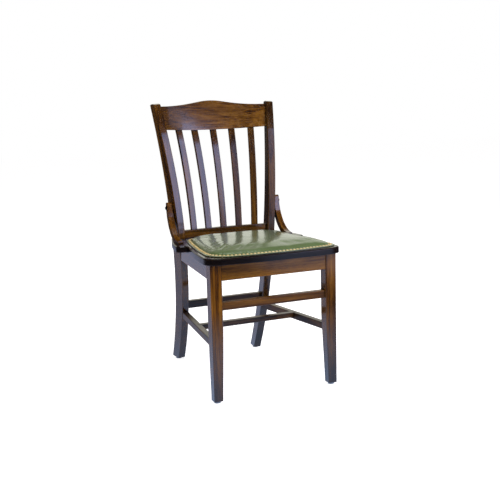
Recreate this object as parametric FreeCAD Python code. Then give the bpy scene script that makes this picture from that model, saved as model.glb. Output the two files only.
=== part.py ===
import FreeCAD, Part
import math
import os

os.makedirs("parts", exist_ok=True)
Vec = FreeCAD.Vector

# Schoolhouse side chair, millimetres, +Z up, the front of the chair towards -Y.
# Distances "back" are counted from the front faces of the front legs; the
# finished pieces are moved forward at the end so that the origin lies at the
# bottom centre of the whole chair.
move_forward = 244.9
glide_height = 6.0
seat_underside = 411.0
board_thickness = 19.0
seat_top = seat_underside + board_thickness
bar_ease = 1.2
# a length greater than any piece, for the bodies that trim others
beyond = 1000.0

# Back posts: each one is a plank sawn to a curve, turned and leaned outward
post_thickness = 24.5
post_top_rise = 2.5
post_turn = 0.1317
post_lean = 0.0699
post_offset = 78.2
post_ease = 2.0
# height, distance back of the middle, depth from front to rear
post_course = [
    (3.0, 495.9, 48.0),
    (220.0, 419.0, 53.6),
    (440.0, 392.9, 52.2),
    (680.0, 415.4, 42.7),
    (860.0, 461.5, 30.1),
]

# Front legs, tapered on the two inner faces
leg_spread = 403.0
leg_size = 35.0
leg_foot = 28.0
leg_taper_start = 217.0
leg_ease = 2.0

# Aprons under the seat board
apron_underside = 361.5
apron_thickness = 20.0
apron_setback = 2.0
side_apron_front = 199.6
side_apron_run = -0.0966
rear_apron_front = 386.0

# Stretchers: underside, top, front face and rear face
front_stretcher = (273.7, 296.9, 7.0, 26.6)
rear_stretcher = (189.5, 214.3, 413.5, 433.5)
cross_stretcher = (168.6, 184.9, 207.7, 229.1)
side_stretcher_low = 166.5
side_stretcher_high = 187.7
side_stretcher_width = 19.4
side_stretcher_front = 201.6
side_stretcher_run = -0.1166
side_stretcher_drop = -0.0146

# Tenons
tenon_length = 14.0
tenon_shoulder = 4.0
cross_tenon_length = 10.0
crest_tenon_height = 56.0
bent_tenon_length = 12.0

# Crest rail: a bent board that leans back with the posts
crest_rake = 16.2
crest_height = 816.0
crest_back = 447.9
crest_half_chord = 194.0
crest_end_offset = 5.0
crest_middle_offset = 35.0
crest_thickness = 18.0
crest_blank_half = 75.0
crest_low_end = 780.6
crest_low_middle = 773.3
# sideways distance, height of the top edge
crest_top = [(0.0, 869.0), (75.0, 860.0), (150.0, 853.5), (205.0, 855.0)]

# Lower back rail: a bent bar standing on the seat board
rail_height = 26.4
rail_half_chord = 161.3
rail_end_back = 391.0
rail_middle_back = 401.2
rail_thickness = 18.0

# Back slats: each is a thin bar bent to an arc between the two rails
slat_width = 20.8
slat_thickness = 10.0
slat_ease = 1.0
slat_low = 442.0
slat_high = 786.0
slat_offset_low = -2.0
slat_offset_high = 5.0
slat_bow_low = 10.2
slat_bow_high = 30.0
# place of each slat across the back at its foot and top, as a share of the half width
slat_shares = [(-0.655, -0.65), (-0.33, -0.35), (0.0, 0.0), (0.336, 0.338), (0.678, 0.685)]

# Seat board plan, right half from the middle of the front to the rear corner:
# sideways distance, distance back, heading in degrees from straight sideways
board_plan = [
    (0.0, -30.0, 0.0), (173.0, -23.0, 4.6), (215.0, 17.0, 93.0), (205.0, 115.0, 97.6),
    (187.5, 226.0, 99.5), (196.0, 239.0, 12.8), (207.0, 241.5, 12.8), (217.5, 252.0, 95.0),
    (208.0, 311.0, 102.0), (177.0, 418.0, 108.0),
]
board_ease = 3.0

# Pad: thin base board, foam and a cover whose flat margin is nailed down all round
# each half from the middle of the front to the middle of the rear, as in the board plan;
# the right front corner is fuller than the left one
pad_right = [
    (0.0, -19.0, 0.0), (172.0, -5.5, 9.0), (208.5, 27.0, 93.0), (201.0, 106.0, 96.0),
    (188.0, 180.0, 99.5), (161.0, 318.0, 102.5), (132.0, 347.9, 179.3), (0.0, 348.6, 180.0),
]
pad_left = [
    (0.0, -19.0, 0.0), (150.0, -7.0, 14.0), (198.2, 50.0, 91.0), (194.5, 106.0, 94.5),
    (185.5, 180.0, 98.5), (161.0, 318.0, 102.5), (132.0, 347.9, 179.3), (0.0, 348.6, 180.0),
]
pad_middle = 168.0
pad_reach = 190.0
pad_facet_sag = 0.5
# height above the seat board, inset from the outline: edge, flat margin, then the rolled and crowned pad
pad_profile = [
    (0.0, 0.0), (1.8, 0.2), (3.9, 13.2), (8.2, 15.6), (13.0, 20.0), (18.6, 29.5), (21.2, 46.0),
    (23.6, 86.0), (26.0, 160.0),
]
pad_margin = pad_profile[1:3]
cover_thickness = 1.2
pad_board_thickness = 2.4
nail_pitch = 11.4
nail_inset = 9.0
nail_radius = 3.8
nail_top_radius = 1.9
nail_rise = 1.9
nail_sides = 6

# Hip braces: curved brackets from the posts down to the ears of the seat board
brace_inner = 179.6
brace_outer = 197.0
brace_toe = 5.0
brace_front = [(386.3, 545.0), (371.0, 491.0), (326.0, 445.0), (288.0, seat_top + brace_toe)]
brace_rear = [(338.0, seat_top), (382.0, 474.0), (401.0, 545.0)]
brace_top_mid = (394.0, 550.0)
brace_screw = (394.0, 532.0)
brace_screw_length = 30.0
brace_foot_screw = 322.0
brace_foot_screw_length = 25.0

# Corner blocks inside the aprons
front_block_side = 112.0
front_block_back = 84.0
front_block_rise = 6.0
rear_block_side = 92.0
rear_block_front = 312.0
rear_block_notch = (137.0, 362.0)
rear_block_rise = -14.0

# Screws and glides
screw_radius = 2.0
screw_head_radius = 4.2
screw_head_height = 2.2
seat_screw_front = (148.0, 48.0)
seat_screw_rear = (126.0, 362.0)
seat_screw_bite = 12.0
glide_radius = 9.5


def mirrored(shape):
    """The same piece on the other side of the chair."""
    return shape.mirror(Vec(0, 0, 0), Vec(1, 0, 0))


def both_sides(shapes):
    return shapes + [mirrored(shape) for shape in shapes]


def biggest(shape):
    """The largest solid left after a cut."""
    return max(shape.Solids, key=lambda solid: solid.Volume)


def line(first, last):
    return Part.LineSegment(first, last).toShape()


def arc(first, middle, last):
    return Part.Arc(first, middle, last).toShape()


def arc_under(first, corner, last):
    """The arc whose tangents at both ends meet at the corner."""
    middle = (first + last) * 0.5
    reach = corner - middle
    half_chord = (last - first).Length / 2
    if reach.Length < 1e-4 * half_chord:
        return line(first, last)
    sagitta = half_chord * math.tan(math.atan2(reach.Length, half_chord) / 2)
    return arc(first, middle + reach.normalize() * sagitta, last)


def headed_arcs(points, headings):
    """A chain of tangent arcs through the points, two between neighbours."""
    edges = []
    for number in range(len(points) - 1):
        first, last = points[number], points[number + 1]
        leave, enter = headings[number], headings[number + 1]
        step = last - first
        forward = step.dot(leave + enter)
        bend = 2 * (1 - leave.dot(enter))
        if bend < 1e-9:
            reach = step.dot(step) / (2 * forward)
        else:
            reach = (math.sqrt(forward ** 2 + bend * step.dot(step)) - forward) / bend
        near = first + leave * reach
        far = last - enter * reach
        meeting = (near + far) * 0.5
        edges += [arc_under(first, near, meeting), arc_under(meeting, far, last)]
    return edges


def smooth_arcs(points):
    """Tangent arcs through the points, headed like a smooth curve through them."""
    guide = Part.BSplineCurve()
    guide.interpolate(points)
    return headed_arcs(points, [guide.tangent(guide.parameter(point))[0] for point in points])


def solid_from(edges, direction):
    """Close the edges to a flat outline and give it thickness."""
    wire = Part.Wire(Part.__sortEdges__(edges))
    return Part.Face(wire).extrude(direction)


def solid_on(corners, direction):
    """A straight-sided outline with thickness."""
    return Part.Face(Part.makePolygon(corners + corners[:1])).extrude(direction)


def flat_sided(rings):
    """A solid with flat sides between straight-sided outlines of equal count."""
    faces = [Part.Face(Part.makePolygon(ring + ring[:1])) for ring in (rings[0], rings[-1])]
    for lower, upper in zip(rings[:-1], rings[1:]):
        for number in range(len(lower)):
            corners = [lower[number - 1], lower[number], upper[number], upper[number - 1]]
            faces.append(Part.Face(Part.makePolygon(corners + corners[:1])))
    solid = Part.Solid(Part.Shell(faces))
    if solid.Volume < 0:
        solid.reverse()
    return solid


def box(x0, x1, y0, y1, z0, z1):
    return Part.makeBox(x1 - x0, y1 - y0, z1 - z0, Vec(x0, y0, z0))


def bar(x0, x1, y0, y1, z0, z1):
    """A straight bar with its long edges eased."""
    blank = box(x0, x1, y0, y1, z0, z1)
    longest = max(x1 - x0, y1 - y0, z1 - z0)
    return blank.makeChamfer(bar_ease, [edge for edge in blank.Edges if edge.Length > longest - 0.01])


def screw(point, direction, length):
    """A flat-head screw: the head stands on the surface at the point."""
    head = Part.makeCylinder(screw_head_radius, screw_head_height, point, direction * -1)
    shank = Part.makeCylinder(screw_radius, length, point, direction)
    return head.fuse(shank).removeSplitter()


course = Part.BSplineCurve()
course.interpolate([Vec(*row) for row in post_course])


def post_at(height):
    """Distance back, depth and backward slope of a post at a height."""
    low, high = [pair for pair in zip(post_course[:-1], post_course[1:]) if pair[1][0] >= height][0]
    share = (height - low[0]) / (high[0] - low[0])
    along = course.parameter(Vec(*low) + (Vec(*high) - Vec(*low)) * share)
    for repeat in range(4):
        spot = course.value(along)
        heading = course.tangent(along)[0]
        along = course.parameter(spot + heading * ((height - spot.x) / heading.x))
    spot = course.value(along)
    heading = course.tangent(along)[0]
    return spot.y, spot.z, heading.y / heading.x


def post_side(back, height):
    """Sideways place of the middle plane of the right post."""
    return post_offset + post_lean * height + post_turn * back


post_normal = Vec(1.0, -post_turn, -post_lean).normalize()


def on_inner_face(back, height):
    """A point on the inner face of the right post."""
    return Vec(post_side(back, height), back, height) - post_normal * (post_thickness / 2)


def post_blank():
    """The right post before its joints are cut, with a level foot."""
    edges = []
    for side in (-1, 1):
        points = []
        for height, back, depth in post_course:
            points.append(on_inner_face(back + side * depth / 2 / math.hypot(1.0, post_turn), height))
        edges.append(points)
    front, rear = edges
    top_mid = (front[-1] + rear[-1]) * 0.5 + Vec(post_lean, 0, 1) * post_top_rise
    outline = smooth_arcs(front) + smooth_arcs(rear)
    outline += [line(front[0], rear[0]), arc(front[-1], top_mid, rear[-1])]
    blank = solid_from(outline, post_normal * post_thickness)
    long_edges = [edge for edge in blank.Edges if edge.Length > post_thickness + 1.0]
    blank = blank.makeChamfer(post_ease, long_edges)
    return biggest(blank.cut(box(-beyond, beyond, -beyond, beyond, -beyond, glide_height)))


def beyond_posts():
    """The space on the outer sides of the two inner post faces."""
    spots = [(0.0, 0.0), (beyond, 0.0), (beyond, beyond), (0.0, beyond)]
    return both_sides([solid_on([on_inner_face(*spot) for spot in spots], post_normal * beyond)])


def leg_ring(height, size):
    """Square section of the right front leg with its corners cut off."""
    outer = leg_spread / 2
    ring = []
    for side, back, side_step, back_step in (
        (outer, 0.0, -1, 1), (outer, size, -1, -1), (outer - size, size, 1, -1), (outer - size, 0.0, 1, 1),
    ):
        along_side = Vec(side + side_step * leg_ease, back, height)
        along_back = Vec(side, back + back_step * leg_ease, height)
        ring += [along_side, along_back] if side_step * back_step < 0 else [along_back, along_side]
    return ring


def plan(points, height):
    return [Vec(side, back, height) for side, back in points]


def plan_arcs(rows, height):
    """Tangent arcs through rows of sideways distance, distance back and heading."""
    headings = []
    for side, back, degrees in rows:
        headings.append(Vec(math.cos(math.radians(degrees)), math.sin(math.radians(degrees)), 0))
    return headed_arcs(plan([row[:2] for row in rows], height), headings)


def seated(blank, tenon, holders, trims):
    """Trim a bar and let its tenon into the pieces that hold it."""
    piece = biggest(blank.cut(trims)).fuse(tenon).removeSplitter()
    return biggest(piece), [biggest(holder.cut(tenon)) for holder in holders]


def level_bar(low, high, front, rear, half, reach, holders, trims):
    """A bar from side to side with a tenon at each end."""
    tenon = box(
        -reach, reach, front + tenon_shoulder, rear - tenon_shoulder,
        low + tenon_shoulder, high - tenon_shoulder)
    return seated(bar(-half, half, front, rear, low, high), tenon, holders, trims)


def side_bar(outer_front, run, drop, width, low, high, holders):
    """A bar that runs back from a front leg to the post of the same side."""
    level = (low + high) / 2
    back, depth, slope = post_at(level)
    taper = max(0.0, leg_taper_start - level) / (leg_taper_start - glide_height)
    leg_depth = leg_size - taper * (leg_size - leg_foot)

    def slanted(shape):
        shape.rotate(Vec(0, 0, 0), Vec(1, 0, 0), math.degrees(math.atan(drop)))
        shape.rotate(Vec(0, 0, 0), Vec(0, 0, 1), -math.degrees(math.atan(run)))
        shape.translate(Vec(outer_front, 0, low))
        return shape

    blank = slanted(bar(-width, 0.0, leg_depth / 2, back, 0.0, high - low))
    first = leg_depth - tenon_length
    last = back - depth / 2 + tenon_length
    tenon = slanted(box(
        tenon_shoulder - width, -tenon_shoulder, first, last, tenon_shoulder, high - low - tenon_shoulder))
    return seated(blank, tenon, holders, holders)


def bent_bar(place, half_chord, end, middle, thickness, direction):
    """A bar bent to an arc, somewhat longer than its chord."""
    rise = middle - end
    radius = (half_chord ** 2 + rise ** 2) / (2 * rise)
    spread = math.asin(half_chord / radius) * 1.08
    faces = []
    for face_radius in (radius - thickness / 2, radius + thickness / 2):
        row = []
        for angle in (-spread, 0.0, spread):
            row.append(place(face_radius * math.sin(angle), middle - radius + face_radius * math.cos(angle)))
        faces.append(row)
    near, far = faces
    return solid_from([arc(*near), arc(*far), line(near[0], far[0]), line(near[2], far[2])], direction)


pieces = {}
posts = both_sides([post_blank()])
legs = both_sides([flat_sided([
    leg_ring(glide_height, leg_foot),
    leg_ring(leg_taper_start, leg_size),
    leg_ring(seat_underside, leg_size),
])])
outside = beyond_posts()

# Front apron and front stretcher between the legs
leg_inner = leg_spread / 2 - leg_size
apron_rear = apron_setback + apron_thickness
for name, sizes in (
    ("front_apron", (apron_underside, seat_underside, apron_setback, apron_rear)),
    ("front_stretcher", front_stretcher),
):
    pieces[name], legs = level_bar(*sizes, leg_inner, leg_inner + tenon_length, legs, [])

# Rear apron and rear stretcher between the posts
for name, sizes in (
    ("rear_apron", (apron_underside, seat_underside, rear_apron_front, rear_apron_front + apron_thickness)),
    ("rear_stretcher", rear_stretcher),
):
    low, high, front, rear = sizes
    half = post_side((front + rear) / 2, (low + high) / 2)
    pieces[name], posts = level_bar(*sizes, half, half + tenon_length - post_thickness / 2, posts, outside)

# Side aprons and side stretchers from the legs to the posts
post, leg = posts[0], legs[0]
side_apron, (leg, post) = side_bar(
    side_apron_front, side_apron_run, 0.0, apron_thickness, apron_underside, seat_underside, [leg, post])
side_stretcher, (leg, post) = side_bar(
    side_stretcher_front, side_stretcher_run, side_stretcher_drop, side_stretcher_width,
    side_stretcher_low, side_stretcher_high, [leg, post])

# Cross stretcher between the side stretchers
low, high, front, rear = cross_stretcher
half = side_stretcher_front + side_stretcher_run * (front + rear) / 2 - side_stretcher_width / 2
side_stretchers = both_sides([side_stretcher])
reach = half - side_stretcher_width / 2 + cross_tenon_length
pieces["cross_stretcher"], side_stretchers = level_bar(
    *cross_stretcher, half, reach, side_stretchers, side_stretchers)

# Crest rail
rake = math.radians(crest_rake)
crest_up = Vec(0, math.sin(rake), math.cos(rake))
crest_normal = Vec(0, math.cos(rake), -math.sin(rake))


def on_crest(side, offset, up):
    return Vec(side, crest_back, crest_height) + crest_normal * offset + crest_up * up


def crest_bend(thickness, low, height):
    return bent_bar(
        lambda side, offset: on_crest(side, offset, low),
        crest_half_chord, crest_end_offset, crest_middle_offset, thickness, crest_up * height)


def crest_spot(side, height):
    return Vec(side, 0.0, height)


top_points = [crest_spot(-side, height) for side, height in reversed(crest_top[1:])]
top_points += [crest_spot(side, height) for side, height in crest_top]
crest_end = crest_top[-1][0]
low_points = [crest_spot(-crest_end, crest_low_end), crest_spot(0.0, crest_low_middle)]
low_points.append(crest_spot(crest_end, crest_low_end))
outline = smooth_arcs(top_points) + [arc(*low_points)]
outline += [line(top_points[0], low_points[0]), line(top_points[-1], low_points[2])]
crest = crest_bend(crest_thickness, -crest_blank_half, 2 * crest_blank_half)
crest = crest.common(solid_from(outline, Vec(0, beyond, 0)))
half = post_side(crest_back, crest_height) - post_thickness / 2 + bent_tenon_length
crest_tenon = crest_bend(crest_thickness - 2 * tenon_shoulder, -crest_tenon_height / 2, crest_tenon_height)
crest_tenon = crest_tenon.common(box(-half, half, 0.0, beyond, 0.0, beyond))
posts = both_sides([post])
crest_rail, posts = seated(crest, crest_tenon, posts, outside)


# Lower back rail
def rail_bend(margin):
    return bent_bar(
        lambda side, back: Vec(side, back, seat_top + margin),
        rail_half_chord, rail_end_back, rail_middle_back, rail_thickness - 2 * margin,
        Vec(0, 0, rail_height - 2 * margin))


rail = rail_bend(0.0)
rail = rail.makeChamfer(bar_ease, [edge for edge in rail.Edges if edge.Length > rail_half_chord])
half = post_side(rail_end_back, seat_top) - post_thickness / 2 + bent_tenon_length
rail_tenon = rail_bend(tenon_shoulder).common(box(-half, half, 0.0, beyond, 0.0, beyond))
lower_back_rail, posts = seated(rail, rail_tenon, posts, outside)


# Back slats, let into both rails
def slat(low_share, high_share):
    spots = []
    for share in (0.0, 0.5, 1.0):
        height = slat_low + share * (slat_high - slat_low)
        across = low_share + share * (high_share - low_share)
        bow = slat_bow_low + share * (slat_bow_high - slat_bow_low)
        offset = slat_offset_low + share * (slat_offset_high - slat_offset_low) + bow * (1 - across ** 2)
        back, depth, slope = post_at(height)
        lean = math.atan(slope)
        half_width = post_side(back, height)
        rearward = Vec(0, math.cos(lean), -math.sin(lean))
        spots.append(Vec(across * half_width, back, height) + rearward * offset)
        if share == 0.5:
            facing = math.atan(2 * bow * across / half_width)
    foot, middle, top = spots
    along = (top - foot).normalize()
    sideways = Vec(math.cos(facing), -math.sin(facing), 0)
    sideways = (sideways - along * along.dot(sideways)).normalize()
    outward = along.cross(sideways)
    middle = middle - sideways * sideways.dot(middle - foot)
    edges = []
    for side in (-1, 1):
        shift = outward * (side * slat_thickness / 2) - sideways * (slat_width / 2)
        edges.append([spot + shift for spot in (foot, middle, top)])
    near, far = edges
    outline = [arc(*near), arc(*far), line(near[0], far[0]), line(near[2], far[2])]
    blank = solid_from(outline, sideways * slat_width)
    return blank.makeChamfer(slat_ease, [edge for edge in blank.Edges if edge.Length > 2 * slat_width])


for number, shares in enumerate(slat_shares):
    piece = slat(*shares)
    pieces["back_slat_%d" % (number + 1)] = piece
    crest_rail = crest_rail.cut(piece)
    lower_back_rail = lower_back_rail.cut(piece)
pieces["crest_rail"] = biggest(crest_rail)
pieces["lower_back_rail"] = biggest(lower_back_rail)


# Seat board with its ears, notched round the posts
side, back, heading = board_plan[-1]
rear_edge = line(*plan([(-side, back), (side, back)], seat_underside))
outline = both_sides(plan_arcs(board_plan, seat_underside)) + [rear_edge]
board = solid_from(outline, Vec(0, 0, board_thickness))
upper_rim = [edge for edge in board.Edges if edge.BoundBox.ZMin > seat_top - 0.01]
board = board.makeChamfer(board_ease, upper_rim)
pieces["seat_board"] = biggest(board.cut(posts))


# Pad
def pad_ring(inset, rise):
    """The outline of the pad in short straight steps, drawn in by the inset."""
    halves = []
    for rows in (pad_right, pad_left):
        halves.append(Part.Wire(plan_arcs(rows, 0.0)).discretize(Deflection=pad_facet_sag))
    right, left = halves
    outline = right + [Vec(-point.x, point.y, 0) for point in reversed(left[1:-1])]
    shrink = 1 - inset / pad_reach
    ring = []
    for point in outline:
        ring.append(Vec(point.x * shrink, pad_middle + (point.y - pad_middle) * shrink, seat_top + rise))
    return ring


def pad_body(skin):
    """The crowned body of the pad under a skin of the given thickness."""
    return flat_sided([pad_ring(inset + skin, max(0.0, rise - skin)) for rise, inset in pad_profile])


stuffing = pad_body(cover_thickness)
below = box(-beyond, beyond, -beyond, beyond, 0.0, seat_top + pad_board_thickness)
pieces["pad_board"] = biggest(stuffing.common(below))
pieces["seat_foam"] = biggest(stuffing.cut(below))
pieces["seat_cover"] = biggest(pad_body(0.0).cut(stuffing))


# Nails with raised heads all round the margin of the pad
def nail(point, along, uphill):
    """A six-sided head that stands on the slope of the margin."""
    uphill = (uphill - along * along.dot(uphill)).normalize()
    upright = along.cross(uphill)
    rings = []
    for radius, rise in ((nail_radius, 0.0), (nail_top_radius, nail_rise)):
        ring = []
        for turn in range(nail_sides):
            angle = 2 * math.pi * (turn + 0.5) / nail_sides
            spread = along * (radius * math.cos(angle)) + uphill * (radius * math.sin(angle))
            ring.append(point + upright * rise + spread)
        rings.append(ring)
    return flat_sided(rings)


(outer_rise, outer_inset), (inner_rise, inner_inset) = pad_margin
share = (nail_inset - outer_inset) / (inner_inset - outer_inset)
outer_rim = pad_ring(outer_inset, outer_rise)
rim = pad_ring(nail_inset, outer_rise + share * (inner_rise - outer_rise))
steps = [rim[number] - rim[number - 1] for number in range(len(rim))]
rim_length = sum(step.Length for step in steps)
nail_count = round(rim_length / nail_pitch)
nails = []
passed = 0.0
for number, step in enumerate(steps):
    while (len(nails) + 0.5) * rim_length / nail_count <= passed + step.Length:
        ahead = (len(nails) + 0.5) * rim_length / nail_count - passed
        along = Vec(step).normalize()
        nails.append(nail(rim[number - 1] + along * ahead, along, rim[number] - outer_rim[number]))
    passed += step.Length
pieces["nailheads"] = Part.makeCompound(nails)

# Hip braces
front_points = [Vec(brace_inner, back, height) for back, height in brace_front]
rear_points = [Vec(brace_inner, back, height) for back, height in brace_rear]
toe = front_points[-1] - Vec(0, 0, brace_toe)
outline = smooth_arcs(front_points) + [line(front_points[-1], toe), line(toe, rear_points[0])]
outline += smooth_arcs(rear_points)
outline.append(arc(rear_points[-1], Vec(brace_inner, *brace_top_mid), front_points[0]))
brace = solid_from(outline, Vec(brace_outer - brace_inner, 0, 0))
brace = biggest(brace.cut(posts[0]))

# Screws of the braces: one through the top into the post, one up through the ear
brace_middle = (brace_inner + brace_outer) / 2
screws = [
    screw(Vec(brace_outer, *brace_screw), Vec(-1, 0, 0), brace_screw_length),
    screw(Vec(brace_middle, brace_foot_screw, seat_underside), Vec(0, 0, 1), brace_foot_screw_length),
]
brace = brace.cut(screws)
post = posts[0].cut(screws)
pieces["brace_screws"] = Part.makeCompound(both_sides(screws))
pieces["seat_board"] = pieces["seat_board"].cut(both_sides(screws))


# Corner blocks inside the aprons, screwed up into the seat board
def apron_inner(back):
    return side_apron_front + side_apron_run * back - apron_thickness * math.hypot(1.0, side_apron_run)


front_low = apron_underside + front_block_rise
front_block = plan([
    (front_block_side, apron_rear), (leg_inner, apron_rear), (leg_inner, leg_size),
    (apron_inner(leg_size), leg_size), (apron_inner(front_block_back), front_block_back),
], front_low)
rear_low = apron_underside + rear_block_rise
notch_side, notch_front = rear_block_notch
rear_block = plan([
    (apron_inner(rear_block_front), rear_block_front), (apron_inner(notch_front), notch_front),
    (notch_side, notch_front), (notch_side, rear_apron_front), (rear_block_side, rear_apron_front),
], rear_low)
front_block = solid_on(front_block, Vec(0, 0, seat_underside - front_low))
rear_block = solid_on(rear_block, Vec(0, 0, seat_underside - rear_low))
seat_screws = []
for spot, low in ((seat_screw_front, front_low), (seat_screw_rear, rear_low)):
    seat_screws.append(screw(Vec(*spot, low), Vec(0, 0, 1), seat_underside - low + seat_screw_bite))
front_block = front_block.cut(seat_screws[0])
rear_block = rear_block.cut(seat_screws[1])
pieces["seat_screws"] = Part.makeCompound(both_sides(seat_screws))
pieces["seat_board"] = pieces["seat_board"].cut(both_sides(seat_screws))


# Button glides under the four feet
rear_foot = post_at(glide_height)[0]
glides = []
for side, back in (
    ((leg_spread - leg_foot) / 2, leg_foot / 2), (post_side(rear_foot, glide_height), rear_foot),
):
    glides.append(Part.makeCylinder(glide_radius, glide_height, Vec(side, back, 0)))
pieces["glides"] = Part.makeCompound(both_sides(glides))

for name, shape in (
    ("front_leg", leg), ("back_post", post), ("side_apron", side_apron),
    ("side_stretcher", side_stretchers[0]), ("hip_brace", brace),
    ("corner_block_front", front_block), ("corner_block_rear", rear_block),
):
    pieces[name + "_right"] = shape
    pieces[name + "_left"] = mirrored(shape)

for name, shape in pieces.items():
    shape.translate(Vec(0, -move_forward, 0))
    shape.exportStep("parts/%s.step" % name)
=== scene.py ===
import math

import bmesh
import bpy
from mathutils import Matrix, Vector, noise


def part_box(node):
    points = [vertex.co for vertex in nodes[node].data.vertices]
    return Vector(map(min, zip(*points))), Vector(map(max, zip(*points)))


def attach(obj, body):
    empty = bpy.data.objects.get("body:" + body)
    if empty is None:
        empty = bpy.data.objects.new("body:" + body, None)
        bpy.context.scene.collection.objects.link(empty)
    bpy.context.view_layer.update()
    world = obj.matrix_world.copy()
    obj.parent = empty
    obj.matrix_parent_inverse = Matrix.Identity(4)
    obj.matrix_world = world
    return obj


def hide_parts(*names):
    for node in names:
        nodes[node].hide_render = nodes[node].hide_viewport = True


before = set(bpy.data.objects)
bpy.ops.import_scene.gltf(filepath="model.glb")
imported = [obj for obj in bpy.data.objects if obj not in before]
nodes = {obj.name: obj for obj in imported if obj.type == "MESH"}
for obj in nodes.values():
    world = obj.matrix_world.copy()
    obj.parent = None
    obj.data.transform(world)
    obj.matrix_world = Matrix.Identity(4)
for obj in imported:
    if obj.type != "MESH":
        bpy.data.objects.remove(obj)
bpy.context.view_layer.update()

seat_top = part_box("seat_board")[1].z

# Camera: place, axes and lens fitted to the photograph, as a 500 by 500 image
camera_place = Vector((-1.0274, -2.4775, 0.8645))
camera_right = Vector((0.9181, -0.3954, -0.0262))
camera_up = Vector((0.0914, 0.1469, 0.9849))
camera_back = Vector((-0.3856, -0.9067, 0.1710))
camera_lens = 61.93
camera_sensor = 36.0


# Node helpers
def new_tree(owner, output_kind):
    """The emptied node tree of a material or world, and its output node."""
    owner.use_nodes = True
    owner.node_tree.nodes.clear()
    return owner.node_tree, owner.node_tree.nodes.new(output_kind)


def new_material(name):
    material = bpy.data.materials.new(name)
    tree, output = new_tree(material, "ShaderNodeOutputMaterial")
    shader = tree.nodes.new("ShaderNodeBsdfPrincipled")
    tree.links.new(shader.outputs[0], output.inputs[0])
    return material, tree, shader


def node(tree, kind, inputs=None, **settings):
    made = tree.nodes.new(kind)
    for key, value in settings.items():
        setattr(made, key, value)
    for key, value in (inputs or {}).items():
        if hasattr(value, "is_output"):
            tree.links.new(value, made.inputs[key])
        else:
            made.inputs[key].default_value = value
    return made


def math_node(tree, operation, first, second):
    return node(tree, "ShaderNodeMath", {0: first, 1: second}, operation=operation).outputs[0]


def plus(tree, first, second):
    return math_node(tree, "ADD", first, second)


def times(tree, first, second):
    return math_node(tree, "MULTIPLY", first, second)


def ramp(tree, factor, stops):
    made = node(tree, "ShaderNodeValToRGB", {"Fac": factor})
    elements = made.color_ramp.elements
    while len(elements) < len(stops):
        elements.new(0.5)
    for element, (place, colour) in zip(elements, stops):
        element.position = place
        element.color = (*colour, 1.0)
    return made.outputs["Color"]


def grey(value):
    return (value, value, value)


def mix(tree, kind, factor, first, second):
    made = node(tree, "ShaderNodeMix", data_type="RGBA", blend_type=kind)
    for socket, value in ((made.inputs[0], factor), (made.inputs[6], first), (made.inputs[7], second)):
        if hasattr(value, "is_output"):
            tree.links.new(value, socket)
        else:
            socket.default_value = value if isinstance(value, float) else (*value, 1.0)
    return made.outputs[2]


def noise_on(tree, vector, scale, detail=4.0, roughness=0.55, distortion=0.0):
    stretched = node(tree, "ShaderNodeMapping", {"Vector": vector, "Scale": scale}).outputs[0]
    made = node(tree, "ShaderNodeTexNoise", {
        "Vector": stretched, "Scale": 1.0, "Detail": detail, "Roughness": roughness,
        "Distortion": distortion})
    return made.outputs["Fac"]


def object_place(tree):
    return node(tree, "ShaderNodeTexCoord").outputs["Object"]


def height_of(tree, place):
    return node(tree, "ShaderNodeSeparateXYZ", {0: place}).outputs["Z"]


def edge_wear_and_highlight(tree, radius):
    """The rounded normal, and how far a point lies on an eased edge by the turn of that normal, which places
    wear and painted highlight on the edges.
    """
    rounded = node(tree, "ShaderNodeBevel", {"Radius": radius}, samples=6)
    plain = node(tree, "ShaderNodeNewGeometry")
    turn = node(tree, "ShaderNodeVectorMath", {0: rounded.outputs[0], 1: plain.outputs["Normal"]},
                operation="DOT_PRODUCT")
    return rounded.outputs[0], math_node(tree, "SUBTRACT", 1.0, turn.outputs["Value"])


def add_bump(tree, shader, height, strength, distance, normal=None):
    made = node(tree, "ShaderNodeBump", {"Height": height, "Strength": strength, "Distance": distance})
    if normal is not None:
        tree.links.new(normal, made.inputs["Normal"])
    tree.links.new(made.outputs[0], shader.inputs["Normal"])


# Wood: stained grain that runs along each piece, with pores, edges lighter from wear and painted highlight,
# painted shade in joints and nooks, and painted shade towards the feet
broad_scale = (2.2, 20.0, 20.0)
streak_scale = (6.0, 190.0, 190.0)
pore_scale = (55.0, 1500.0, 1500.0)
cloud_scale = (4.0, 9.0, 9.0)
seed_shift = (3.1, 1.7, 0.9)
broad_share, streak_share = 0.55, 0.45
# Edges of the wood are painted lighter: part wear, part painted highlight
eased_edge_radius = 0.0022
wear_and_highlight_gain = 2.4
wear_and_highlight_most = 0.45
wear_and_highlight_colour = (0.17, 0.075, 0.022)
# Reach of the painted shade in joints and nooks
nook_shade_reach = 0.012
# Painted shade: darker towards the feet, by height
foot_shade = [(0.04, grey(0.22)), (0.28, grey(1.0))]

# Finishes of the wood: weight of the lacquer, and least roughness of the wood under it
lacquer_finish = (0.7, 0.09)
dull_finish = (0.05, 0.24)
satin_finish = (0.20, 0.10)
no_finish = (0.0, 0.09)


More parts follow.
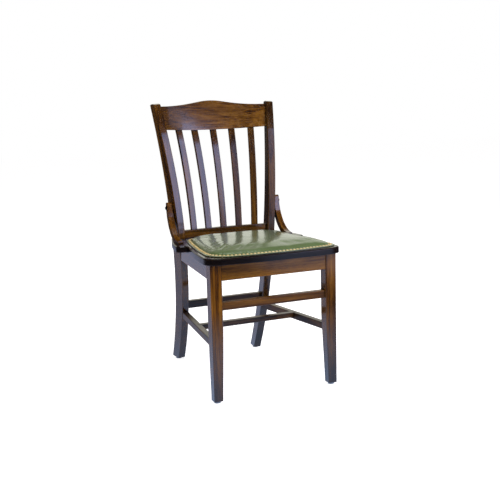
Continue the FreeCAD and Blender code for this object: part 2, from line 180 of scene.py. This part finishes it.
def wood(name, along, seed, stops, finish, figure=1.0):
    coat, least_dull = finish
    material, tree, shader = new_material(name)
    place = object_place(tree)
    turn = Vector(along).rotation_difference(Vector((1, 0, 0))).to_euler()
    grain = node(tree, "ShaderNodeMapping", {
        "Vector": place, "Rotation": turn,
        "Location": [seed * shift for shift in seed_shift]}).outputs[0]
    broad = noise_on(tree, grain, broad_scale, 4.0, 0.55, 0.9 * figure)
    streaks = noise_on(tree, grain, streak_scale, 5.0, 0.62, 0.3)
    pores = noise_on(tree, grain, pore_scale, 2.0, 0.5)
    cloud = noise_on(tree, grain, cloud_scale, 2.0, 0.5, 0.3)
    tone = plus(tree, times(tree, broad, broad_share), times(tree, streaks, streak_share))
    colour = ramp(tree, tone, stops)
    shade = ramp(tree, cloud, [(0.3, grey(0.62)), (0.7, grey(1.15))])
    colour = mix(tree, "MULTIPLY", 1.0, colour, shade)
    pits = ramp(tree, pores, [(0.33, grey(0.35)), (0.46, grey(1.0))])
    colour = mix(tree, "MULTIPLY", 0.8, colour, pits)
    normal, edge_share = edge_wear_and_highlight(tree, eased_edge_radius)
    # Painted highlight with wear: the edges are mixed towards a lighter colour
    wear_and_highlight_share = times(tree, edge_share, times(tree, cloud, wear_and_highlight_gain))
    wear_and_highlight_share = node(tree, "ShaderNodeClamp", {"Value": wear_and_highlight_share, "Max": wear_and_highlight_most}).outputs[0]
    colour = mix(tree, "MIX", wear_and_highlight_share, colour, wear_and_highlight_colour)
    # Painted shade: darker where other surfaces close in, in joints and nooks
    occlusion = node(tree, "ShaderNodeAmbientOcclusion", {"Distance": nook_shade_reach}, samples=6).outputs["AO"]
    painted_nook_shade = ramp(tree, occlusion, [(0.35, grey(0.22)), (0.9, grey(1.0))])
    colour = mix(tree, "MULTIPLY", 1.0, colour, painted_nook_shade)
    # Painted shade towards the feet, where less light reaches
    colour = mix(tree, "MULTIPLY", 1.0, colour, ramp(tree, height_of(tree, place), foot_shade))
    tree.links.new(colour, shader.inputs["Base Color"])
    dull = plus(tree, times(tree, streaks, 0.12), least_dull)
    tree.links.new(dull, shader.inputs["Roughness"])
    shader.inputs["Specular IOR Level"].default_value = 0.5
    shader.inputs["Coat Weight"].default_value = coat
    shader.inputs["Coat Roughness"].default_value = 0.06
    height = plus(tree, times(tree, streaks, 0.6), times(tree, pores, 0.4))
    add_bump(tree, shader, height, 0.16, 0.0006, normal)
    return material


walnut = [(0.33, (0.010, 0.003, 0.001)), (0.43, (0.070, 0.023, 0.0012)), (0.51, (0.165, 0.062, 0.0035)),
          (0.62, (0.300, 0.126, 0.010))]
dark_walnut = [(0.28, (0.003, 0.002, 0.002)), (0.48, (0.008, 0.004, 0.003)), (0.62, (0.018, 0.009, 0.006)),
               (0.75, (0.032, 0.015, 0.008))]
raw_wood = [(0.28, (0.10, 0.05, 0.02)), (0.5, (0.17, 0.10, 0.05)), (0.72, (0.25, 0.16, 0.09))]
crest_figure = 2.6

# Direction of the grain in each kind of piece
grain_of = {
    "front_apron": (1, 0, 0), "front_stretcher": (1, 0, 0), "rear_apron": (1, 0, 0),
    "rear_stretcher": (1, 0, 0), "cross_stretcher": (1, 0, 0), "crest_rail": (1, 0, 0),
    "lower_back_rail": (1, 0, 0), "seat_board": (1, 0, 0), "front_leg": (0, 0, 1),
    "back_post": (0, 0.14, 1), "back_slat": (0, 0.14, 1), "side_apron": (0, 1, 0),
    "side_stretcher": (0, 1, 0), "hip_brace": (0, 0.6, 1), "corner_block": (1, 1, 0),
}

# Lightness of each piece against that of the left front leg, set by comparing with the photograph
tone_of = {
    "crest_rail": 0.66, "back_slat": 0.46, "back_post_left": 0.62, "back_post_right": 0.36,
    "lower_back_rail": 0.66, "hip_brace": 0.80, "rear": 0.58, "side": 0.66, "cross": 0.62,
    "front_stretcher": 0.60, "front_leg_right": 0.64, "front_apron": 0.74,
}


def first_match(name, table):
    """The value of the first key that the name starts with."""
    for key, value in table.items():
        if name.startswith(key):
            return value
    return None


def wood_for(name, along, seed):
    title = "wood_" + name
    if name == "seat_board":
        return wood(title, along, seed, dark_walnut, satin_finish)
    if name.startswith("corner_block"):
        return wood(title, along, seed, raw_wood, no_finish)
    tone = first_match(name, tone_of) or 1.0
    stops = [(place, tuple(value * tone for value in colour)) for place, colour in walnut]
    finish = dull_finish if "stretcher" in name else lacquer_finish
    return wood(title, along, seed, stops, finish, crest_figure if name == "crest_rail" else 1.0)


for number, name in enumerate(sorted(nodes)):
    along = first_match(name, grain_of)
    if along:
        nodes[name].data.materials[0] = wood_for(name, along, number)


# Metal: spotted colour and roughness; bare is how metallic it is
def metal(name, colour, dark, roughness, bare=1.0):
    material, tree, shader = new_material(name)
    place = object_place(tree)
    spots = noise_on(tree, place, (160.0, 160.0, 160.0), 4.0, 0.6)
    fine = noise_on(tree, place, (900.0, 900.0, 900.0), 3.0, 0.5)
    tree.links.new(ramp(tree, spots, [(0.36, dark), (0.58, colour)]), shader.inputs["Base Color"])
    tree.links.new(plus(tree, times(tree, spots, 0.25), roughness), shader.inputs["Roughness"])
    shader.inputs["Metallic"].default_value = bare
    add_bump(tree, shader, fine, 0.08, 0.0003)
    return material


brass = metal("aged_brass", (0.98, 0.79, 0.38), (0.82, 0.58, 0.22), 0.18, 0.55)
steel = metal("zinc_steel", (0.52, 0.52, 0.53), (0.30, 0.30, 0.31), 0.26)
nickel = metal("worn_nickel", (0.40, 0.40, 0.41), (0.18, 0.18, 0.18), 0.30)
black = metal("black_oxide", (0.030, 0.030, 0.032), (0.012, 0.012, 0.013), 0.30)
nodes["brace_screws"].data.materials[0] = black
nodes["seat_screws"].data.materials[0] = steel
nodes["glides"].data.materials[0] = nickel


# Plywood of the base board inside the pad
def plywood(name, low, high):
    material, tree, shader = new_material(name)
    layers = noise_on(tree, object_place(tree), (20.0, 260.0, 1400.0), 5.0, 0.6)
    tree.links.new(ramp(tree, layers, [(0.35, low), (0.65, high)]), shader.inputs["Base Color"])
    tree.links.new(plus(tree, times(tree, layers, 0.2), 0.6), shader.inputs["Roughness"])
    add_bump(tree, shader, layers, 0.4, 0.0006)
    return material


nodes["pad_board"].data.materials[0] = plywood("plywood", (0.36, 0.24, 0.13), (0.56, 0.42, 0.26))


# Vinyl: glossy grained cloth, with painted shade in the creases of its grain, and, where its last argument
# is set, a painted shadow line just above the seat board
# Painted shadow line above the seat board: how fast it fades, and how dark it is
shadow_line_scale = 200.0
painted_shadow_line = [(0.26, grey(0.04)), (0.38, grey(1.0))]


def vinyl(name, low, high, shadow_lined):
    material, tree, shader = new_material(name)
    place = object_place(tree)
    cloud = noise_on(tree, place, (9.0, 9.0, 9.0), 3.0, 0.5)
    fine = noise_on(tree, place, (420.0, 420.0, 420.0), 3.0, 0.55)
    cells = node(tree, "ShaderNodeTexVoronoi", {
        "Vector": place, "Scale": 520.0, "Randomness": 1.0}, feature="DISTANCE_TO_EDGE").outputs["Distance"]
    creases = ramp(tree, cells, [(0.0, grey(0.0)), (0.22, grey(1.0))])
    colour = ramp(tree, cloud, [(0.34, low), (0.66, high)])
    # Painted shade in the creases of the grain
    colour = mix(tree, "MULTIPLY", 0.30, colour, creases)
    # Painted shadow: a dark line just above the seat board, under the margin's lip
    if shadow_lined:
        rise = math_node(tree, "SUBTRACT", height_of(tree, place), seat_top)
        colour = mix(tree, "MULTIPLY", 1.0, colour, ramp(tree, times(tree, rise, shadow_line_scale), painted_shadow_line))
    tree.links.new(colour, shader.inputs["Base Color"])
    tree.links.new(plus(tree, times(tree, cloud, 0.10), 0.14), shader.inputs["Roughness"])
    shader.inputs["Coat Weight"].default_value = 0.45
    shader.inputs["Coat Roughness"].default_value = 0.13
    shader.inputs["Sheen Weight"].default_value = 0.04
    coarse = noise_on(tree, place, (170.0, 170.0, 170.0), 2.0, 0.5)
    height = plus(tree, times(tree, creases, 0.4), times(tree, fine, 0.4))
    height = plus(tree, height, times(tree, coarse, 0.8))
    add_bump(tree, shader, height, 0.14, 0.0004)
    return material


green_vinyl = vinyl("green_vinyl", (0.092, 0.142, 0.048), (0.132, 0.192, 0.076), False)
# The margin has the cover's vinyl painted lighter: painted light on the flat margin
margin_vinyl_painted_lighter = vinyl("margin_vinyl_painted_lighter", (0.200, 0.255, 0.125), (0.265, 0.320, 0.180), True)


# Nails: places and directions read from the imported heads
def islands(mesh):
    """The corners of each separate solid of a mesh, in the order of the mesh."""
    work = bmesh.new()
    work.from_mesh(mesh)
    bmesh.ops.remove_doubles(work, verts=work.verts, dist=1e-6)
    seen = set()
    groups = []
    for start in work.verts:
        if start in seen:
            continue
        seen.add(start)
        stack = [start]
        group = []
        while stack:
            vert = stack.pop()
            group.append(vert.co.copy())
            for edge in vert.link_edges:
                other = edge.other_vert(vert)
                if other not in seen:
                    seen.add(other)
                    stack.append(other)
        groups.append(group)
    work.free()
    return groups


def middle(points):
    return sum(points, Vector()) / len(points)


def nail_place(corners):
    """The middle of the wide foot of a nail, and the direction to its narrow top."""
    centre = middle(corners)
    outward = sorted(corners, key=lambda point: (point - centre).length)
    half = len(outward) // 2
    foot = middle(outward[half:])
    return foot, (middle(outward[:half]) - foot).normalized()


nails = [nail_place(corners) for corners in islands(nodes["nailheads"].data)]
nails.sort(key=lambda nail: math.atan2(nail[0].x, -nail[0].y))
nail_spots = [Vector((foot.x, foot.y, 0.0)) for foot, axis in nails]

# Pad outline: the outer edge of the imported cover, evenly spaced and smoothed, about the middle of the pad
pad_centre = Vector((0.0, -0.0769, 0.0))
pad_reach = 0.190
edge_rise = 0.0018
steps_per_nail = 6
edge_smoothing = 4


def pad_edge():
    found = {}
    for vert in nodes["seat_cover"].data.vertices:
        if abs(vert.co.z - seat_top - edge_rise) < 0.0001:
            spot = Vector((vert.co.x, vert.co.y, 0.0)) - pad_centre
            found[round(math.atan2(spot.x, -spot.y), 4)] = spot
    loop = [found[angle] for angle in sorted(found)]
    lengths = [(loop[index] - loop[index - 1]).length for index in range(len(loop))]
    count = len(nails) * steps_per_nail
    pitch = sum(lengths) / count
    even = []
    passed = 0.0
    for index, length in enumerate(lengths):
        while len(even) * pitch < passed + length - 1e-9 and len(even) < count:
            share = (len(even) * pitch - passed) / length
            even.append(loop[index - 1].lerp(loop[index], share))
        passed += length
    for repeat in range(edge_smoothing):
        even = [(even[index - 1] + even[index] * 2.0 + even[(index + 1) % count]) / 4.0
                for index in range(count)]
    return even


edge = pad_edge()


def pad_point(spot, inset, rise):
    return pad_centre + spot * (1.0 - inset / pad_reach) + Vector((0.0, 0.0, seat_top + rise))


# Mesh helpers
def finished_mesh(name, work):
    """A smooth-shaded mesh of the work, with its faces turned outward."""
    bmesh.ops.recalc_face_normals(work, faces=work.faces)
    mesh = bpy.data.meshes.new(name)
    work.to_mesh(mesh)
    work.free()
    for polygon in mesh.polygons:
        polygon.use_smooth = True
    return mesh


def ring_mesh(name, rings, closed):
    """Quads between rings of equal count; closed joins the end rings to each other, else both are capped."""
    work = bmesh.new()
    rows = [[work.verts.new(point) for point in ring] for ring in rings]
    pairs = list(zip(rows[:-1], rows[1:])) + ([(rows[-1], rows[0])] if closed else [])
    for low, high in pairs:
        for index in range(len(low)):
            work.faces.new((low[index - 1], low[index], high[index], high[index - 1]))
    if not closed:
        work.faces.new(list(reversed(rows[0])))
        work.faces.new(rows[-1])
    return finished_mesh(name, work)


def add_object(name, data):
    made = bpy.data.objects.new(name, data)
    bpy.context.scene.collection.objects.link(made)
    return made


def run_modifier(piece, kind, **settings):
    made = piece.modifiers.new(kind.lower(), kind)
    for key, value in settings.items():
        setattr(made, key, value)
    return made


def apply_modifiers(piece):
    graph = bpy.context.evaluated_depsgraph_get()
    mesh = bpy.data.meshes.new_from_object(piece.evaluated_get(graph))
    old = piece.data
    piece.modifiers.clear()
    piece.data = mesh
    bpy.data.meshes.remove(old)


# Cushion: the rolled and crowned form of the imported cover, a little shrunk, then filled by pressure
crown_rows = [(0.0128, 0.0006), (0.0126, 0.0040), (0.0150, 0.0084), (0.0192, 0.0131), (0.0285, 0.0187),
              (0.0450, 0.0214), (0.0850, 0.0238), (0.1300, 0.0254), (0.1700, 0.0261)]
held_rise = 0.006
shrink = 0.12
swell_limit = 0.003
cloth_frames = 20
cushion_floor = 0.0004

cushion = add_object("cushion", ring_mesh("cushion", [
    [pad_point(spot, inset, rise) for spot in edge] for inset, rise in crown_rows], False))
run_modifier(cushion, "REMESH", mode="VOXEL", voxel_size=0.004)
apply_modifiers(cushion)
for vert in cushion.data.vertices:
    vert.co.z -= max(0.0, vert.co.z - seat_top - held_rise) * shrink
unfilled = [vert.co.copy() for vert in cushion.data.vertices]
held = cushion.vertex_groups.new(name="held")
low = [vert.index for vert in cushion.data.vertices if vert.co.z < seat_top + held_rise]
held.add(low, 1.0, "REPLACE")
cloth = run_modifier(cushion, "CLOTH")
cloth.settings.use_pressure = True
cloth.settings.uniform_pressure_force = 4.0
cloth.settings.effector_weights.gravity = 0.0
cloth.settings.vertex_group_mass = "held"
cloth.settings.tension_stiffness = 25.0
cloth.settings.compression_stiffness = 25.0
cloth.settings.bending_stiffness = 1.5
cloth.settings.quality = 6
for number in range(1, cloth_frames + 1):
    bpy.context.scene.frame_set(number)
apply_modifiers(cushion)
bpy.context.scene.frame_set(1)
for vert, first in zip(cushion.data.vertices, unfilled):
    step = vert.co - first
    if step.length > 1e-7:
        vert.co = first + step * (swell_limit * math.tanh(step.length / swell_limit) / step.length)
    vert.co.z = max(vert.co.z, seat_top + cushion_floor)
run_modifier(cushion, "SMOOTH", factor=0.5, iterations=4)
run_modifier(cushion, "SUBSURF", levels=1, render_levels=1)
apply_modifiers(cushion)

# Puckers run up the roll from each nail, and the crown is a little uneven
pucker_low, pucker_high = 0.003, 0.019
pucker_rise, pucker_fade = 0.008, 0.006
pucker_width = 0.0030
pucker_depth = 0.0009
pucker_reach = 0.030
pucker_between = 0.38
pucker_drop = Vector((0.0, 0.0, 0.6))
crown_rise = 0.012
crown_waves = [(11.0, 0.0010), (34.0, 0.0003)]


def pucker(point, rise):
    """How far a point on the roll moves: in along a nail's line, out between the nails."""
    flat = Vector((point.x, point.y, 0.0))
    gap, nearest = min(((flat - spot).length, index) for index, spot in enumerate(nail_spots))
    if gap >= pucker_reach:
        return Vector()
    nail = nail_spots[nearest]
    inward = (pad_centre - nail).normalized()
    across = (flat - nail) - inward * (flat - nail).dot(inward)
    fold = math.exp(-((across.length / pucker_width) ** 2)) - pucker_between
    uneven = 0.65 + 0.7 * noise.noise(nail * 40.0)
    fade = math.exp(-(((rise - pucker_rise) / pucker_fade) ** 2)) * uneven
    return (inward - pucker_drop) * (pucker_depth * fold * fade)


for vert in cushion.data.vertices:
    rise = vert.co.z - seat_top
    if pucker_low < rise < pucker_high:
        vert.co += pucker(vert.co, rise)
    if rise > crown_rise:
        vert.co.z += sum(noise.noise(vert.co * scale) * size for scale, size in crown_waves)
cushion.data.materials.append(green_vinyl)
for polygon in cushion.data.polygons:
    polygon.use_smooth = True
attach(cushion, "root")
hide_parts("seat_cover", "seat_foam")

# Margin: the flat edge of the vinyl, pressed down a little at each nail; inset and rise of each row
margin_rows = [(0.0009, 0.0001), (0.0011, 0.0008), (0.0009, 0.0014), (0.0003, 0.0019), (0.0001, 0.0024),
               (0.0005, 0.0029), (0.0016, 0.0033), (0.0036, 0.0034), (0.0060, 0.0034), (0.0080, 0.0035),
               (0.0105, 0.0037), (0.0130, 0.0040), (0.0160, 0.0045), (0.0180, 0.0040), (0.0180, 0.0003)]
margin_foot = 0.001
nail_dip = 0.0005
dip_width = 0.0050
scallop_start, scallop_width = 0.008, 0.0020
margin_wave, margin_wave_size = 60.0, 0.0002


def margin_point(spot, inset, rise):
    point = pad_point(spot, inset, rise)
    if rise > margin_foot:
        flat = Vector((point.x, point.y, 0.0))
        near = min((flat - nail).length for nail in nail_spots)
        point.z -= nail_dip * math.exp(-((near / dip_width) ** 2))
        past = max(0.0, near - scallop_start) / scallop_width
        point -= spot.normalized() * (nail_dip * math.exp(-(past ** 2)))
        point.z += noise.noise(point * margin_wave) * margin_wave_size
    return point


margin = add_object("margin", ring_mesh("margin", [
    [margin_point(spot, inset, rise) for spot in edge] for inset, rise in margin_rows], True))
margin.data.materials.append(margin_vinyl_painted_lighter)
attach(margin, "root")
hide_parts("seat_cover")


# Round fasteners, turned from a profile of radius and rise
def turned(name, places, profile, sides, material):
    """One mesh of round forms, each turned from the profile about its own axis."""
    work = bmesh.new()
    for foot, axis in places:
        place = Matrix.Translation(foot) @ axis.to_track_quat("Z", "Y").to_matrix().to_4x4()
        rings = []
        for radius, rise in profile:
            angles = [2 * math.pi * step / sides for step in range(sides if radius else 1)]
            rings.append([work.verts.new(place @ Vector((
                radius * math.cos(angle), radius * math.sin(angle), rise))) for angle in angles])
        for low, high in zip(rings[:-1], rings[1:]):
            for step in range(sides):
                after = (step + 1) % sides
                if len(low) == 1:
                    work.faces.new((low[0], high[after], high[step]))
                elif len(high) == 1:
                    work.faces.new((low[step], low[after], high[0]))
                else:
                    work.faces.new((low[step], low[after], high[after], high[step]))
    mesh = finished_mesh(name, work)
    mesh.materials.append(material)
    return add_object(name, mesh)


# Domed nails
nail_sides = 14
dome = [(0.0, -0.0010), (0.0037, -0.0010), (0.0042, -0.0003), (0.0043, 0.0003), (0.0040, 0.0009),
        (0.0033, 0.0015), (0.0023, 0.0020), (0.0011, 0.00225), (0.0, 0.0023)]
nail_domes = turned("nail_domes", nails, dome, nail_sides, brass)
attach(nail_domes, "root")
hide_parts("nailheads")

# Round heads of the brace screws, each at the wide end of its packed screw
shank_radius = 0.003
head_sides = 20


def screw_head(corners):
    """The middle of the underside of a screw's head, and the direction that the head faces."""
    low = Vector([min(point[axis] for point in corners) for axis in range(3)])
    high = Vector([max(point[axis] for point in corners) for axis in range(3)])
    run = max(range(3), key=lambda axis: (high - low)[axis])
    centre = (low + high) / 2

    def radius(point):
        return math.sqrt((point - centre).length_squared - (point - centre)[run] ** 2)

    wide = [point for point in corners if radius(point) > shank_radius]
    outer = max(wide, key=lambda point: abs((point - centre)[run]))
    inner = min(wide, key=lambda point: abs((point - centre)[run]))
    facing = Vector((0.0, 0.0, 0.0))
    facing[run] = math.copysign(1.0, (outer - centre)[run])
    foot = centre.copy()
    foot[run] = inner[run]
    return foot, facing


heads = [screw_head(corners) for corners in islands(nodes["brace_screws"].data)]
knob = [(0.0, -0.0100), (0.0019, -0.0100), (0.0019, -0.0002), (0.0046, 0.0), (0.0056, 0.0006),
        (0.0060, 0.0016), (0.0057, 0.0026), (0.0047, 0.0036), (0.0032, 0.0043), (0.0015, 0.0046),
        (0.0, 0.0047)]
knobs = turned("brace_screw_heads", heads, knob, head_sides, black)
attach(knobs, "root")
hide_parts("brace_screws")

# Camera object
camera_data = bpy.data.cameras.new("camera")
camera_data.lens = camera_lens
camera_data.sensor_width = camera_sensor
camera = add_object("camera", camera_data)
axes = Matrix((camera_right, camera_up, camera_back)).transposed().to_4x4()
camera.matrix_world = Matrix.Translation(camera_place) @ axes
bpy.context.scene.camera = camera


def by_ray(tree, lighting, mirrored, seen):
    """One shader for diffuse light, one for what gloss shows, and one for the camera and through glass."""
    path = node(tree, "ShaderNodeLightPath")
    direct = math_node(tree, "MAXIMUM", path.outputs["Is Camera Ray"], path.outputs["Is Transmission Ray"])
    others = node(tree, "ShaderNodeMixShader", {0: path.outputs["Is Glossy Ray"], 1: lighting, 2: mirrored})
    return node(tree, "ShaderNodeMixShader", {0: direct, 1: others.outputs[0], 2: seen}).outputs[0]


# Floor: pale and matte; to the camera it also glows, and gloss shows a painted glow on it, brightest round
# the chair
floor_half = 12.0
floor_glow = 0.83
lit_middle = (0.0, 0.85, 0.0)
lit_range = 4.0


def floor_material():
    material = bpy.data.materials.new("floor")
    tree, output = new_tree(material, "ShaderNodeOutputMaterial")
    matte = node(tree, "ShaderNodeBsdfDiffuse", {"Color": (0.80, 0.80, 0.82, 1.0)}).outputs[0]
    glow = node(tree, "ShaderNodeEmission", {"Color": (1.0, 1.0, 1.0, 1.0), "Strength": floor_glow})
    white = node(tree, "ShaderNodeAddShader", {0: matte, 1: glow.outputs[0]}).outputs[0]
    place = node(tree, "ShaderNodeNewGeometry").outputs["Position"]
    parts = node(tree, "ShaderNodeSeparateXYZ", {0: place})
    # Painted reflection: gloss sees the floor as a glow, bluish in front, dimmer behind, fading away from
    # the chair, with a brighter patch far to the right front
    back = plus(tree, times(tree, parts.outputs["Y"], 0.25), 0.5)
    lit = ramp(tree, back, [(0.45, (0.50, 0.66, 1.0)), (0.62, (0.34, 0.37, 0.52))])
    away = node(tree, "ShaderNodeVectorMath", {0: place, 1: lit_middle}, operation="DISTANCE")
    away = math_node(tree, "DIVIDE", away.outputs["Value"], lit_range)
    lit = mix(tree, "MULTIPLY", 1.0, lit, ramp(tree, away, [(0.385, grey(1.0)), (0.53, grey(0.05))]))
    right = ramp(tree, parts.outputs["X"], [(0.72, grey(0.0)), (0.84, grey(1.0))])
    front = ramp(tree, back, [(0.03, grey(1.0)), (0.09, grey(0.0))])
    lit = mix(tree, "MIX", times(tree, right, front), lit, (0.40, 0.52, 0.80))
    painted_glow = node(tree, "ShaderNodeEmission", {"Color": lit, "Strength": 1.0}).outputs[0]
    tree.links.new(by_ray(tree, matte, painted_glow, white), output.inputs[0])
    return material


floor_mesh = bpy.data.meshes.new("floor")
work = bmesh.new()
bmesh.ops.create_grid(work, x_segments=8, y_segments=8, size=floor_half)
work.to_mesh(floor_mesh)
work.free()
floor = add_object("floor", floor_mesh)
floor_mesh.materials.append(floor_material())

# World: even light, white to the camera; gloss shows a pale backdrop behind the chair and a dim studio
backdrop_direction = (0.34, 0.86, 0.375)
ambient_strength = 0.21

world = bpy.data.worlds.new("studio")
bpy.context.scene.world = world
tree, output = new_tree(world, "ShaderNodeOutputWorld")
direction = node(tree, "ShaderNodeTexCoord").outputs["Generated"]
facing = node(tree, "ShaderNodeVectorMath", {0: direction, 1: backdrop_direction}, operation="DOT_PRODUCT")
room = ramp(tree, facing.outputs["Value"], [(0.82, (0.05, 0.05, 0.055)), (0.958, (0.92, 0.92, 0.82))])
ambient = node(tree, "ShaderNodeBackground", {"Color": (1.0, 0.98, 0.96, 1.0), "Strength": ambient_strength})
studio = node(tree, "ShaderNodeBackground", {"Color": room, "Strength": 1.0})
white = node(tree, "ShaderNodeBackground", {"Color": (1.0, 1.0, 1.0, 1.0), "Strength": 1.0})
tree.links.new(by_ray(tree, ambient.outputs[0], studio.outputs[0], white.outputs[0]), output.inputs[0])


# Lamps: warm ones light the chair, bluish ones also show in its gloss, and one overhead shows in gloss alone
def soft_box(name, place, aim, size, watts, colour, spreads, shows):
    """A soft box; spreads lights the surfaces, shows makes it appear in their gloss."""
    data = bpy.data.lights.new(name, "AREA")
    data.shape = "RECTANGLE"
    data.size, data.size_y = size
    data.energy = watts
    data.color = colour
    made = add_object(name, data)
    made.location = place
    made.rotation_mode = "QUATERNION"
    made.rotation_quaternion = (Vector(aim) - Vector(place)).to_track_quat("-Z", "Y")
    made.visible_diffuse = spreads
    made.visible_glossy = shows


lamp_white = (1.0, 0.94, 0.86)
pale_white = (1.0, 0.96, 0.92)
fill_white = (1.0, 0.95, 0.88)
window_blue = (0.52, 0.60, 1.0)
sky_blue = (0.60, 0.66, 1.0)
ceiling_white = (0.84, 0.90, 1.0)
soft_box("key", (0.35, -1.7, 2.05), (0.0, 0.0, 0.45), (1.0, 0.8), 40.0, lamp_white, True, False)
soft_box("front", (-0.6, -2.6, 0.9), (0.0, 0.0, 0.45), (1.0, 0.8), 10.0, lamp_white, True, False)
soft_box("left", (-2.4, 0.3, 1.5), (0.0, 0.0, 0.5), (1.2, 1.6), 8.0, pale_white, True, False)
soft_box("rear", (-0.6, 2.3, 1.5), (0.0, 0.2, 0.5), (1.4, 1.2), 25.0, fill_white, True, False)
soft_box("right", (2.3, 0.3, 1.2), (0.0, 0.0, 0.5), (1.2, 1.2), 16.0, fill_white, True, False)
soft_box("window", (1.03, -1.53, 1.09), (0.0, 0.2, 0.70), (0.72, 1.42), 11.0, window_blue, True, True)
soft_box("window_edge", (0.57, -1.72, 1.09), (0.1, 0.2, 0.70), (0.20, 1.42), 0.8, window_blue, True, True)
soft_box("window_high", (1.36, -1.34, 1.865), (-0.1, 0.2, 0.80), (0.56, 0.13), 0.26, sky_blue, True, True)
soft_box("overhead", (0.1, -0.10, 2.5), (0.05, -0.1, 0.45), (0.9, 0.6), 6.5, ceiling_white, False, True)

bpy.context.scene.view_settings.view_transform = "Standard"
